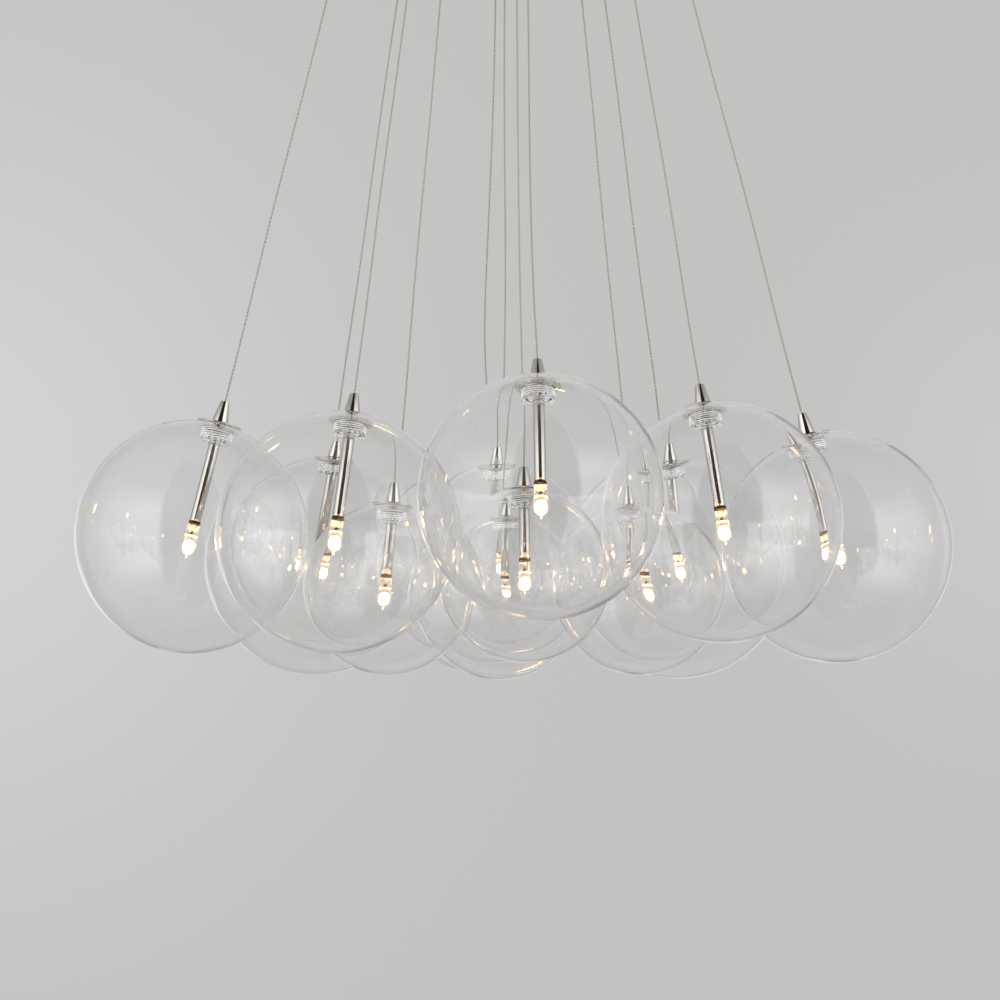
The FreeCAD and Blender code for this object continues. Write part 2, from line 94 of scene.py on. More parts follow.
# The globes, above and below their centres. Sizes in millimetres, the same as the real parts.
SIZES = {
    "large": {"radius": 80, "neck_end": 67.2, "cap": 80.4, "stem": 69.6},
    "small": {"radius": 59, "neck_end": 46.0, "cap": 59.1, "stem": 49.8},
}
GLASS_WALL = 1.9
LIP_RADIUS = 1.6
NECK_BORE = 9.4
NECK_WALL = 1.5
CAP_RADIUS = 15.75
CAP_DISH = 1.45
CAP_THICKNESS = 1.0
FERRULE_BASE = 5.85
FERRULE_TOP = 3.15
FERRULE_HEIGHT = 14.6
FERRULE_GRIP = 8.0
GRIP_RADIUS = 0.65
COLLAR_RADIUS = 9.0
COLLAR_WALL = 1.4
COLLAR_WEB = 1.6
COLLAR_DROP = 0.65
COLLAR_LENGTH = 10.5
THREAD_PITCH = 1.5
THREAD_CREST = 0.24
STEM_RADIUS = 4.0
STEM_WALL = 0.8
STEM_SOCKET = 3.8
RING_RADIUS = 4.1
RING_HEIGHT = 2.4
PLUG_RADIUS = 3.15
PLUG_DEPTH = 10.0
LAMP_GAP = 0.5
LAMP_LENGTH = 23.0
LAMP_RADIUS = 5.1
LAMP_WALL = 0.9
PINCH_WIDTH = 8.4
PINCH_THICKNESS = 3.8
PIN_RADIUS = 0.35
PIN_SPACING = 4.0
PIN_LENGTH = 7.0
CABLE_RADIUS = 0.6
CABLE_SEAT = 0.3
BALL_RADIUS = 2.5
PIVOT_DEPTH = 33.9
NECK_FOOT = NECK_WALL / 2
STEM_FIT = 0.05
FERRULE_SOCKET = 3.0
TIP_HEIGHT = 1.8
TIP_RADIUS = 0.85
CAVITY_TOP = 11.2
GLOW_RADIUS = 3.9
GLOW_SPAN = (20.2, 10.2)

# Each foil in the pinch: how far from the middle, its half width, its two ends below the lampholder, and
# its lean.
FOILS = {"left": (-0.9, 0.75, 6.9, 4.0, 0.35), "right": (1.5, 0.4, 6.0, 4.6, -0.8)}

# How finely the globe and its thread are divided, and how far the blown wall wanders.
OUTSIDE_ROWS = 96
GLOBE_COLUMNS = 144
NECK_ROWS = 4
THREAD_STEPS = 72
THREAD_SIDES = 6
BLOWN_DEPTH = 0.1

# Each cable is straight but for slight waves: how far down it, then how far to the right and to the back.
CABLE_WAVES = {
    "right": ((0.3, -0.5, 0.3), (0.55, 0.8, -0.4), (0.8, -0.4, 0.2)),
    "back_right": ((0.3, 0.6, -0.2), (0.6, -0.7, 0.4), (0.85, 0.5, -0.2)),
    "back": ((0.25, -0.6, 0.3), (0.5, -3.2, -0.3), (0.75, -6.4, 0.3), (0.9, -3.0, 0.2)),
    "back_left": ((0.35, -0.6, 0.3), (0.6, 0.5, -0.3), (0.85, -0.3, 0.2)),
    "left": ((0.3, 0.5, -0.3), (0.6, -0.6, 0.2), (0.85, 0.3, 0.2)),
    "front_left": ((0.3, 0.4, 0.3), (0.55, -0.5, -0.4), (0.8, 0.4, 0.2)),
    "front": ((0.3, -0.6, 0.2), (0.6, -2.2, -0.3), (0.85, -1.6, 0.3)),
    "front_right": ((0.3, -0.4, 0.3), (0.6, 0.6, -0.2), (0.85, -0.4, 0.2)),
    "inner_right": ((0.3, 0.5, -0.2), (0.55, -0.6, 0.3), (0.8, 0.5, 0.2)),
    "inner_back": ((0.3, 0.4, 0.3), (0.6, 2.6, -0.3), (0.85, 1.6, 0.2)),
    "inner_left": ((0.3, 0.5, 0.2), (0.6, -0.5, -0.3), (0.85, 0.7, 0.2)),
    "inner_front": ((0.3, -0.8, 0.3), (0.65, -0.9, -0.2), (0.85, 0.5, 0.2)),
}

DROPS = [name[: -len("_globe")] for name in sorted(frame["nodes"]) if name.endswith("_globe")]


# ---------------------------------------------------------------- materials


def linear(code):
    """The linear colour of an sRGB hex code such as 'C8C8C6'."""
    parts = [int(code[i : i + 2], 16) / 255 for i in (0, 2, 4)]
    return tuple(c / 12.92 if c <= 0.04045 else ((c + 0.055) / 1.055) ** 2.4 for c in parts) + (1.0,)


def add(tree, kind, links=(), inputs=(), **settings):
    """Adds a node, with its settings, its inputs by name or number, and its links from other sockets."""
    node = tree.nodes.new(kind)
    for name, setting in settings.items():
        setattr(node, name, setting)
    for name, number in dict(inputs).items():
        node.inputs[name].default_value = number
    for name, socket in dict(links).items():
        tree.links.new(socket, node.inputs[name])
    return node


def new_material(name, colour, roughness, **sockets):
    """A material with one Principled BSDF. sockets are its other inputs, with _ for a space."""
    material = bpy.data.materials.new(name)
    material.use_nodes = True
    tree = material.node_tree
    shader = tree.nodes["Principled BSDF"]
    shader.inputs["Base Color"].default_value = linear(colour)
    shader.inputs["Roughness"].default_value = roughness
    for socket, number in sockets.items():
        shader.inputs[socket.replace("_", " ")].default_value = number
    return material, tree, shader


def object_noise(tree, size, detail=2.0, stretch=(1, 1, 1)):
    """Noise on Object coordinates whose lumps are about size millimetres across."""
    place = add(tree, "ShaderNodeTexCoord")
    spread = add(tree, "ShaderNodeMapping", {"Vector": place.outputs["Object"]}, {"Scale": stretch})
    numbers = {"Scale": 1 / (size * MM), "Detail": detail}
    return add(tree, "ShaderNodeTexNoise", {"Vector": spread.outputs[0]}, numbers)


def vary_roughness(tree, shader, noise, low, high):
    """Lets a noise move the roughness between two values."""
    span = add(tree, "ShaderNodeMapRange", {"Value": noise.outputs[0]}, {"To Min": low, "To Max": high})
    tree.links.new(span.outputs[0], shader.inputs["Roughness"])


def bump(tree, shader, noise, depth):
    """Raises the surface by a noise, up to depth millimetres."""
    numbers = {"Strength": 1.0, "Distance": depth * MM}
    raised = add(tree, "ShaderNodeBump", {"Height": noise.outputs[0]}, numbers)
    tree.links.new(raised.outputs[0], shader.inputs["Normal"])


def blown_glass():
    """Clear soda-lime glass, blown: smooth and colourless, with slow ripples that make reflections waver."""
    looks = {"Transmission_Weight": 1.0, "IOR": 1.5}
    material, tree, shader = new_material("blown_soda_lime_glass", "FFFFFF", 0.0, **looks)
    bump(tree, shader, object_noise(tree, 14.0, 1.0, (1, 1, 0.3)), 0.02)
    return material


def frosted_crest_with_painted_glow():
    """The crest of a ground glass thread: fine-frosted, so it scatters light, and a faint painted glow makes
    it show as a white line. The painted glow stands for the room light that the glass round it passes on."""
    looks = {"Transmission_Weight": 0.3, "IOR": 1.5}
    material, tree, shader = new_material("frosted_glass_crest_painted_glow", "FFFFFF", 0.5, **looks)
    # Painted glow: a faint white emission on the crest stands in for the room light that the glass round it
    # passes on.
    shader.inputs["Emission Color"].default_value = linear("F4F6F6")
    shader.inputs["Emission Strength"].default_value = 0.45
    material.cycles.emission_sampling = "NONE"
    bump(tree, shader, object_noise(tree, 0.3), 0.01)
    return material


def clear_acrylic():
    """Turned clear acrylic, a close fit in the neck: the low IOR stands for the small step between them."""
    return new_material("clear_acrylic", "FDFEFE", 0.02, Transmission_Weight=1.0, IOR=1.12)[0]


def quartz():
    """Clear quartz of a small lamp: low IOR, fire-polished, with a warm glow from the filament inside."""
    material, _, shader = new_material("quartz", "FFF9F0", 0.0, Transmission_Weight=1.0, IOR=1.46)
    shader.inputs["Emission Color"].default_value = linear("FFC27A")
    shader.inputs["Emission Strength"].default_value = 0.06
    return material


def filament_glow():
    """The white-hot middle of a lit lamp, in one warm colour all over."""
    material, _, shader = new_material("filament_glow", "FFFFFF", 1.0)
    shader.inputs["Emission Color"].default_value = linear("FFCB8C")
    shader.inputs["Emission Strength"].default_value = 90.0
    material.cycles.emission_sampling = "NONE"
    return material


def polished_chrome():
    """Bright chrome plate over turned brass: a clean mirror with faint polishing marks."""
    material, tree, shader = new_material("polished_chrome", "D8D4CE", 0.04, Metallic=1.0)
    vary_roughness(tree, shader, object_noise(tree, 1.5), 0.02, 0.05)
    return material


def zinc_plate():
    """Zinc-plated pressed steel: grey, with soft cloudy spangle."""
    material, tree, shader = new_material("zinc_plated_steel", "A9ACAE", 0.4, Metallic=1.0)
    vary_roughness(tree, shader, object_noise(tree, 6.0), 0.3, 0.5)
    return material


def nickel_wire():
    """Bright nickel of the lamp pins and ball stops: drawn, so its gloss is soft."""
    return new_material("nickel_wire", "B8B2A6", 0.25, Metallic=1.0)[0]


def molybdenum_foil():
    """Thin foil and lead wire in the pinch: dark grey metal."""
    return new_material("molybdenum_foil", "4A413B", 0.35, Metallic=1.0)[0]


def black_phenolic():
    """Moulded black phenolic of the lampholder: a satin black with a fine grain."""
    material, tree, shader = new_material("black_phenolic", "33241C", 0.3)
    bump(tree, shader, object_noise(tree, 0.4), 0.01)
    return material


def white_moulding():
    """Moulded white polycarbonate: satin, with a fine spark-eroded grain."""
    material, tree, shader = new_material("white_polycarbonate", "DEDEDA", 0.45)
    bump(tree, shader, object_noise(tree, 0.6), 0.03)
    return material


def braided_sleeve():
    """Tinned copper braid under a clear sleeve: grey with pale slanting bands, 1.6 mm apart."""
    material, tree, shader = new_material("braid_in_clear_sleeve", "9A9892", 0.35, Metallic=0.4)
    place = add(tree, "ShaderNodeTexCoord")
    slant = add(tree, "ShaderNodeMapping", {"Vector": place.outputs["Object"]}, {"Rotation": (0.6, 0.6, 0.0)})
    bands = add(
        tree,
        "ShaderNodeTexWave",
        {"Vector": slant.outputs[0]},
        {"Scale": 1 / (1.6 * MM) / TURN * 2, "Distortion": 0.5},
        bands_direction="Z",
    )
    ends = {6: linear("9E9C96"), 7: linear("C2C0B8")}
    mix = add(tree, "ShaderNodeMix", {0: bands.outputs["Fac"]}, data_type="RGBA")
    for side, colour in ends.items():
        mix.inputs[side].default_value = colour
    tree.links.new(mix.outputs[2], shader.inputs["Base Color"])
    return material


# ---------------------------------------------------------------- surfaces


def drop_matrix(drop):
    """The drop's own frame, read from the joint that it turns about: globe centre, and +Z up the cable."""
    joint = next(j for j in frame["joints"] if j["name"] == f"{drop}_turn")
    axis = Vector(joint["axis"]).normalized()
    turn = Vector((0, 0, 1)).rotation_difference(axis).to_matrix().to_4x4()
    return Matrix.Translation(joint["pos_m"]) @ turn


def pivot_height(drop):
    """How far up its cable a drop's ball stop sits, in millimetres from the globe's centre."""
    place = drop_matrix(drop)
    axis = place.to_3x3() @ Vector((0, 0, 1))
    return (-PIVOT_DEPTH * MM - place.translation.z) / axis.z / MM


def piece(name, points, body, material, slot, place=None, flip=False):
    """A closed surface from a grid of points in millimetres, as an object whose place is in its mesh.

    Rows follow the profile and columns go round, so each quad joins four neighbours and the last column
    joins the first. Rows whose points meet at a pole are merged, and the faces are turned to point outwards.
    """
    rows, columns = points.shape[:2]
    index = np.arange(rows * columns).reshape(rows, columns)
    right = np.roll(index, -1, axis=1)
    quads = np.stack([index[:-1], right[:-1], right[1:], index[1:]], axis=-1).reshape(-1, 4)
    flat = points.reshape(-1, 3)
    a, b, c, d = (flat[quads[:, k]] for k in range(4))
    volume = (np.cross(a, b) * c).sum() + (np.cross(a, c) * d).sum()
    if (volume < 0) != flip:
        quads = quads[:, ::-1]
    return finish_piece(name, flat, quads, body, material, slot, place)


def finish_piece(name, flat, faces, body, material, slot, place=None):
    """Makes the mesh object, merges its poles and seams, shades it smooth and lets it ride on its body."""
    world = np.array(place if place is not None else Matrix.Identity(4))
    flat = flat * MM @ world[:3, :3].T + world[:3, 3]
    mesh = bpy.data.meshes.new(name)
    mesh.from_pydata(flat.tolist(), [], faces.tolist())
    mesh.validate()
    made = bpy.data.objects.new(name, mesh)
    bpy.context.scene.collection.objects.link(made)
    merge_doubles(mesh)
    mesh.shade_smooth()
    mesh.materials.append(material)
    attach(made, body)
    return made


def merge_doubles(mesh):
    """Closes the poles, where many points of the grid lie in one place."""
    work = bmesh.new()
    work.from_mesh(mesh)
    bmesh.ops.remove_doubles(work, verts=work.verts, dist=1e-6)
    work.to_mesh(mesh)
    work.free()


def sweep_arc(centre, radius, start, end, count):
    """Points of an arc in the (radius, height) plane, from start to end in radians."""
    angle = np.linspace(start, end, count)
    return np.stack([centre[0] + radius * np.cos(angle), centre[1] + radius * np.sin(angle)], axis=-1)


def line(start, end, count):
    """Evenly spaced points from start to end."""
    return np.linspace(start, end, count)


def rounded(corners, radius, count=5):
    """A closed outline whose corners are rounded by small arcs, apart from those on the axis.

    At each corner the arc is replaced by a quadratic curve between the points that lie radius away from the
    corner along its two sides, which is close to an arc and needs no case for the angle.
    """
    corners = np.array(corners, float)
    before, after = np.roll(corners, 1, axis=0), np.roll(corners, -1, axis=0)
    t = np.linspace(0, 1, count)[:, None]
    outline = []
    for point, last, following in zip(corners, before, after):
        if abs(point[0]) < 1e-9:
            outline.append(point[None])
            continue
        reach = [min(radius, np.linalg.norm(other - point) * 0.45) for other in (last, following)]
        start = point + (last - point) / np.linalg.norm(last - point) * reach[0]
        end = point + (following - point) / np.linalg.norm(following - point) * reach[1]
        outline.append((1 - t) ** 2 * start + 2 * t * (1 - t) * point + t**2 * end)
    return np.concatenate(outline)


def turn(profile, columns, closed=True):
    """Carries a (radius, height) profile round the axis: x = r cos a, y = r sin a, z = height."""
    if closed:
        profile = np.concatenate([profile, profile[:1]])
    angle = np.arange(columns) * TURN / columns
    r, z = profile[:, 0][:, None], profile[:, 1][:, None]
    return np.stack([r * np.cos(angle), r * np.sin(angle), z + 0 * angle], axis=-1)


def globe_points(size):
    """The globe's one unbroken skin: the outside from the bottom pole up to the mouth, over the rounded lip,
    down the neck's bore, round its foot, up the neck's outside and down the inside to the bottom pole.

    The inside is blown, so its radius varies a little: r = inside - depth (sin(3a + 2p) + sin(2a - 5p)) / 2,
    with a the angle round and p the angle from the top pole, faded out at the neck and at the bottom pole.
    """
    radius, neck_end = size["radius"], size["neck_end"]
    inside, neck = radius - GLASS_WALL, NECK_BORE + NECK_WALL
    lip_height = math.sqrt((radius - LIP_RADIUS) ** 2 - (NECK_BORE + LIP_RADIUS) ** 2)
    lip_angle = math.atan2(lip_height, NECK_BORE + LIP_RADIUS)
    root = math.sqrt(inside**2 - neck**2)
    down = -math.pi / 2
    outline = [
        sweep_arc((0, 0), radius, down, lip_angle, OUTSIDE_ROWS),
        sweep_arc((NECK_BORE + LIP_RADIUS, lip_height), LIP_RADIUS, lip_angle, math.pi, 10)[1:],
        line((NECK_BORE, lip_height), (NECK_BORE, neck_end + 0.4), 4)[1:],
        sweep_arc((NECK_BORE + NECK_FOOT, neck_end + NECK_FOOT), NECK_FOOT, math.pi, TURN, 9),
        line((neck, neck_end + 1.0), (neck, root - 0.6), NECK_ROWS),
        line((neck + 0.1, root - 0.15), (neck + 0.5, root - 0.12), 3),
        sweep_arc((0, 0), inside, math.atan2(root, neck) - 0.012, down, OUTSIDE_ROWS),
    ]
    points = turn(np.concatenate(outline), GLOBE_COLUMNS, closed=False)
    skin = points[-OUTSIDE_ROWS:]
    a = np.arctan2(skin[..., 1], skin[..., 0])
    p = np.arccos(np.clip(skin[..., 2] / inside, -1, 1))
    fade = np.clip((p - 0.35) / 0.4, 0, 1) * np.clip((math.pi - p) / 0.5, 0, 1)
    blown = BLOWN_DEPTH * (np.sin(3 * a + 2 * p) + np.sin(2 * a - 5 * p)) / 2 * fade
    points[-OUTSIDE_ROWS:] = skin * (1 - blown / inside)[..., None]
    return points


def thread_points(size):
    """The crest of the thread round the glass neck: a thin round bead on a helix that tapers at both ends.

    Its middle is (R cos a, R sin a, foot + pitch a / turn), with R the neck's outside and a the angle run.
    """
    inside, neck = size["radius"] - GLASS_WALL, NECK_BORE + NECK_WALL
    foot, head = size["neck_end"] + THREAD_PITCH, math.sqrt(inside**2 - neck**2) - THREAD_PITCH
    turns = (head - foot) / THREAD_PITCH
    share = np.linspace(0, 1, round(THREAD_STEPS * turns))[:, None]
    a, b = share * turns * TURN, np.arange(THREAD_SIDES) * TURN / THREAD_SIDES
    crest = THREAD_CREST * np.clip(np.minimum(share, 1 - share) * 4 * turns, 0, 1) ** 0.5
    out = neck + crest * np.cos(b)
    height = foot + (head - foot) * share + crest * np.sin(b)
    return np.stack([out * np.cos(a), out * np.sin(a), height], axis=-1)


def ferrule_points(size):
    """A plain cone with softened edges, a blind hole for the cable in its top and a socket in its base."""
    base = size["cap"] + CAP_THICKNESS
    top = base + FERRULE_HEIGHT
    socket = base + FERRULE_SOCKET
    corners = [
        (0, socket),
        (STEM_RADIUS + STEM_FIT, socket),
        (STEM_RADIUS + STEM_FIT, base),
        (FERRULE_BASE, base),
        (FERRULE_TOP, top),
        (GRIP_RADIUS, top),
        (GRIP_RADIUS, top - FERRULE_GRIP),
        (0, top - FERRULE_GRIP),
    ]
    return turn(rounded(corners, 0.25), 64)


def cap_points(size):
    """A thin dished disc with a round edge: z = seat - dish (r - hole) / (R - hole) round the stem's hole."""
    hole = STEM_RADIUS + STEM_FIT
    half = CAP_THICKNESS / 2
    r = np.linspace(hole, CAP_RADIUS - half, 14)
    fall = CAP_DISH * ((r - hole) / (CAP_RADIUS - hole))
    upper = np.stack([r, size["cap"] + CAP_THICKNESS - fall], axis=-1)
    lower = np.stack([r, size["cap"] - fall], axis=-1)
    edge = sweep_arc((r[-1], size["cap"] + half - fall[-1]), half, math.pi / 2, -math.pi / 2, 9)
    return turn(np.concatenate([upper, edge[1:-1], lower[::-1]]), 96)


def collar_points(size):
    """A clear cup-shaped collar that lines the neck's bore."""
    top = size["cap"] - COLLAR_DROP
    end = top - COLLAR_LENGTH
    bore = COLLAR_RADIUS - COLLAR_WALL
    web = top - COLLAR_WEB
    hole = STEM_RADIUS + STEM_FIT
    outside = line((COLLAR_RADIUS, top - 0.2), (COLLAR_RADIUS, end + 0.2), 4)
    mouth = [(bore + 0.2, end), (bore, end + 0.2)]
    seat = [(bore, web - 0.3), (bore - 0.3, web), (hole, web), (hole, top), (COLLAR_RADIUS - 0.3, top)]
    profile = np.concatenate([outside, mouth, seat])
    return turn(profile, 96)


def stem_points(size):
    """A thin tube with softened rims."""
    top = size["cap"] + STEM_SOCKET
    end = size["cap"] - size["stem"]
    bore = STEM_RADIUS - STEM_WALL
    corners = [(bore, end), (STEM_RADIUS, end), (STEM_RADIUS, top), (bore, top)]
    return turn(rounded(corners, 0.15, 3), 64)


def ring_points(size):
    """The lampholder: a ring under the tube and a plug up inside it, with a dished face round the pins."""
    top = size["cap"] - size["stem"]
    foot = top - RING_HEIGHT
    corners = [
        (0, foot + 0.4),
        (2.6, foot + 0.4),
        (3.1, foot),
        (RING_RADIUS, foot),
        (RING_RADIUS, top),
        (PLUG_RADIUS, top),
        (PLUG_RADIUS, top + PLUG_DEPTH),
        (0, top + PLUG_DEPTH),
    ]
    return turn(rounded(corners, 0.2), 64)


def capsule_points(top):
    """The lamp's skin, from the flat pinch to the drawn tip.

    Each level is a superellipse |x / a|^n + |y / b|^n = 1. Its half width a, half depth b and power n run
    smoothly from the pinch (a flat bar) to the barrel (a circle). Below the barrel the radius follows a
    quarter ellipse and then the small drawn tip.
    """
    ball = LAMP_LENGTH - TIP_HEIGHT - LAMP_RADIUS
    # Levels down from the lampholder, and a, b and n at each.
    knots = np.array([0.0, 0.25, 6.8, 8.2, 9.6, 10.8])
    half_width = np.array([3.7, PINCH_WIDTH / 2, PINCH_WIDTH / 2, 4.35, 4.9, LAMP_RADIUS])
    half_depth = np.array([1.4, PINCH_THICKNESS / 2, PINCH_THICKNESS / 2, 2.9, 4.4, LAMP_RADIUS])
    power = np.array([6.0, 6.0, 5.0, 3.4, 2.3, 2.0])
    down = np.concatenate([[0.0, 0.1, 0.25], np.linspace(1, 6.8, 6), np.linspace(7.2, ball, 16)])
    a, b, n = (np.interp(down, knots, v) for v in (half_width, half_depth, power))
    angle = np.linspace(0, math.pi / 2, 14)[1:]
    dome = LAMP_RADIUS * np.cos(angle)
    dome_down = ball + LAMP_RADIUS * np.sin(angle)
    keep = dome > TIP_RADIUS
    tip = np.linspace(0, math.pi / 2, 6)
    dome = np.concatenate([dome[keep], TIP_RADIUS * np.cos(tip)])
    last = ball + math.sqrt(LAMP_RADIUS**2 - TIP_RADIUS**2)
    tip_down = last + 0.5 + (LAMP_LENGTH - last - 0.5) * np.sin(tip)
    dome_down = np.concatenate([dome_down[keep], tip_down])
    down = np.concatenate([down, dome_down])
    a, b = (np.concatenate([v, dome]) for v in (a, b))
    n = np.concatenate([n, np.full(len(dome), 2.0)])
    down, a, b, n = (np.concatenate([[v], w]) for v, w in ((0.0, down), (0.0, a), (0.0, b), (6.0, n)))
    round_ = np.arange(64) * TURN / 64
    cosine, sine = np.cos(round_), np.sin(round_)
    power = (2 / n)[:, None]
    x = a[:, None] * np.sign(cosine) * np.abs(cosine) ** power
    y = b[:, None] * np.sign(sine) * np.abs(sine) ** power
    z = (top - down)[:, None] + 0 * round_
    return np.stack([x, y, z], axis=-1)


def cavity_points(top):
    """The gas space in the lamp: a round-ended cylinder inside the barrel."""
    ball = top - (LAMP_LENGTH - TIP_HEIGHT - LAMP_RADIUS)
    radius = LAMP_RADIUS - LAMP_WALL
    high = top - CAVITY_TOP
    shoulder = sweep_arc((0, high), radius, math.pi / 2, 0, 9)
    shoulder[:, 1] = high + (shoulder[:, 1] - high) * 0.45
    wall = line((radius, high), (radius, ball), 6)[1:-1]
    end = sweep_arc((0, ball), radius, 0, -math.pi / 2, 12)
    return turn(np.concatenate([shoulder, wall, end]), 48, closed=False)


def glow_points(top):
    """The glowing middle of the lamp: a round-ended bar round the filament."""
    low, high = (top - down for down in GLOW_SPAN)
    return bar_points(0, GLOW_RADIUS, low, high, 10, 40)


def bar_points(x, radius, low, high, rows=5, columns=16):
    """A round bar along the cable's direction with rounded ends, standing off the axis by x."""
    outline = np.concatenate(
        [
            sweep_arc((0, high - radius), radius, math.pi / 2, 0, rows),
            sweep_arc((0, low + radius), radius, 0, -math.pi / 2, rows),
        ]
    )
    points = turn(outline, columns, closed=False)
    points[..., 0] += x
    return points


def foil_points(x, half_width, low, high, lean, top):
    """A thin foil strip, as a flat elliptic bar that leans to one side."""
    points = bar_points(0, half_width, top - low, top - high)
    points[..., 1] *= 0.12
    points[..., 0] += x + lean * (points[..., 2] - (top - low))
    return points


# ---------------------------------------------------------------- drops


def make_drop(drop, paint):
    """All the pieces of one drop."""
    size = SIZES["small" if drop.startswith("inner") else "large"]
    place = drop_matrix(drop)
    light = f"{drop}_light"
    cable_body = f"{drop}_suspension" if f"{drop}_suspension" in frame["bodies"] else light

    def make(part, points, finish, slot, replaced, **more):
        made = piece(f"{drop}_{part}", points, light, paint[finish], slot, place, **more)
        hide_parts(f"{drop}_{replaced}")
        return made

    make("glass_globe", globe_points(size), "glass", "clear_glass", "globe")
    make("neck_thread", thread_points(size), "crest", "clear_glass", "globe")
    make("ferrule", ferrule_points(size), "chrome", "polished_chrome", "fitting")
    make("cap_disc", cap_points(size), "chrome", "polished_chrome", "fitting")
    make("threaded_collar", collar_points(size), "acrylic", "clear_glass", "fitting")
    make("stem_tube", stem_points(size), "chrome", "polished_chrome", "fitting")
    make("lampholder", ring_points(size), "phenolic", "white_polycarbonate", "fitting")
    make_lamp(drop, size, make)
    make_cable(drop, size, place, cable_body, paint)


def make_lamp(drop, size, make):
    """The capsule with its cavity, the glow, the foils in the pinch and the two pins."""
    top = size["cap"] - size["stem"] - RING_HEIGHT - LAMP_GAP
    make("lamp_capsule", capsule_points(top), "quartz", "lamp_glass", "lamp")
    make("lamp_cavity", cavity_points(top), "quartz", "lamp_glass", "lamp", flip=True)
    make("lamp_glow", glow_points(top), "glow", "lamp_glass", "lamp")
    for side, x in (("left", -PIN_SPACING / 2), ("right", PIN_SPACING / 2)):
        pin, foil = bar_points(x, PIN_RADIUS, top - 1.5, top + PIN_LENGTH), foil_points(*FOILS[side], top)
        make(f"lamp_{side}_pin", pin, "nickel", "zinc_plated_steel", "lamp")
        make(f"lamp_{side}_foil", foil, "foil", "zinc_plated_steel", "lamp")


def make_cable(drop, size, place, body, paint):
    """The cable as a smooth curve from the ball stop down into the ferrule, and the ball stop on it."""
    top = pivot_height(drop)
    foot = size["cap"] + CAP_THICKNESS + FERRULE_HEIGHT - FERRULE_GRIP + CABLE_SEAT
    start, end = place @ Vector((0, 0, top * MM)), place @ Vector((0, 0, foot * MM))
    route = [start]
    entry = 0.02
    grip = 1 - (FERRULE_GRIP + 4) / (top - foot)
    waves = [(entry, 0, 0), *CABLE_WAVES[drop], (grip, 0, 0)]
    for share, right, back in waves:
        route.append(start.lerp(end, share) + Vector((right * MM, back * MM, 0)))
    route.append(end)
    curve = bpy.data.curves.new(f"{drop}_suspension_cable", "CURVE")
    curve.dimensions = "3D"
    curve.bevel_depth = CABLE_RADIUS * MM
    curve.bevel_resolution = 4
    curve.resolution_u = 12
    curve.use_fill_caps = True
    spline = curve.splines.new("NURBS")
    spline.points.add(len(route) - 1)
    for point, spot in zip(spline.points, route):
        point.co = (*spot, 1.0)
    spline.order_u = 3
    spline.use_endpoint_u = True
    cable = bpy.data.objects.new(curve.name, curve)
    bpy.context.scene.collection.objects.link(cable)
    curve.materials.append(paint["braid"])
    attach(cable, body)
    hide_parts(f"{drop}_cable")
    skin = turn(sweep_arc((0, top), BALL_RADIUS, math.pi / 2, -math.pi / 2, 24), 32, closed=False)
    ball = piece(f"{drop}_ball_stop", skin, body, paint["nickel"], "zinc_plated_steel", place)
    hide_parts(f"{drop}_cable")


# ---------------------------------------------------------------- canopy


def dress_canopy(paint):
    """Gives the canopy's own parts their materials."""
    finishes = {
        "ceiling_plate": "zinc",
        "canopy_cover": "chrome",
        "cable_bushes": "chrome",
        "canopy_posts": "zinc",
        "canopy_nuts": "chrome",
        "transformer": "moulding",
        "transformer_screws": "zinc",
        "mains_terminal": "moulding",
        "lamp_terminals": "moulding",
        "earth_screw": "zinc",
    }
    for node, finish in finishes.items():
        mesh = frame["nodes"][node].data
        mesh.materials.clear()
        mesh.materials.append(paint[finish])


# ---------------------------------------------------------------- stage


# The studio as stops of a level from 0 to 1. A side is the angle from the viewer's side (0) round to the
# backdrop (1), a rise is the angle from straight down (0) to straight up (1), and ROOM and RIM_LOOK run from
# the viewer's side to the backdrop along +Y.
SOFT_LIGHTS = [
    (0.0, (0.014, 0.010, 0.008)),
    (0.165, (0.022, 0.016, 0.012)),
    (0.19, 1.0),
    (0.36, 0.85),
    (0.6, 0.3),
    (0.78, 0.27),
    (1.0, 0.33),
]
WINDOW_RISE = [(0.0, 0.0), (0.27, 0.0), (0.39, 1.0), (0.62, 1.0), (0.74, 0.0), (1.0, 0.0)]
VIEWER_SIDE = [(0.0, 1.0), (0.165, 1.0), (0.19, 0.0), (1.0, 0.0)]
VIEWER_RISE = [(0.0, 0.0), (0.27, 0.0), (0.39, 1.0), (0.86, 1.0), (0.94, 0.0), (1.0, 0.0)]
STRIP_SIDE = [(0.0, 0.0), (0.86, 0.0), (0.9, 1.0), (0.965, 1.0), (0.99, 0.0), (1.0, 0.0)]
STRIP_RISE = [(0.0, 0.0), (0.4, 0.0), (0.475, 1.0), (0.525, 1.0), (0.6, 0.0), (1.0, 0.0)]
ROOM = [(0.0, 0.25), (0.7, 0.25), (0.86, 0.34), (1.0, 0.4)]
RIM_LOOK = [(0.0, 0.0), (0.7, 0.0), (0.8, 1.0), (0.97, 1.0), (0.985, 0.0), (1.0, 0.0)]
SOFTBOX = 1.75
STRIP = 0.9
AMBIENT = 0.55
BACKDROP = "C2C2C1"
BACKDROP_GLOW = "D3D3D3"
FLOOR_DEPTH = 1.6
FLOOR_RADIUS = 12.0
FLOOR_SIDES = 96

# The pools of light on the backdrop: heading, rise and reach in degrees, then level.
POOLS = ((-1.5, 6.5, 4.5, 1.0), (11.5, 6.5, 2.5, 0.45))

# The two soft lights: name, how far to the right, and power in watts.
SOFT_BOXES = (("left_softbox", -2.4, 45), ("right_softbox", 2.4, 40))


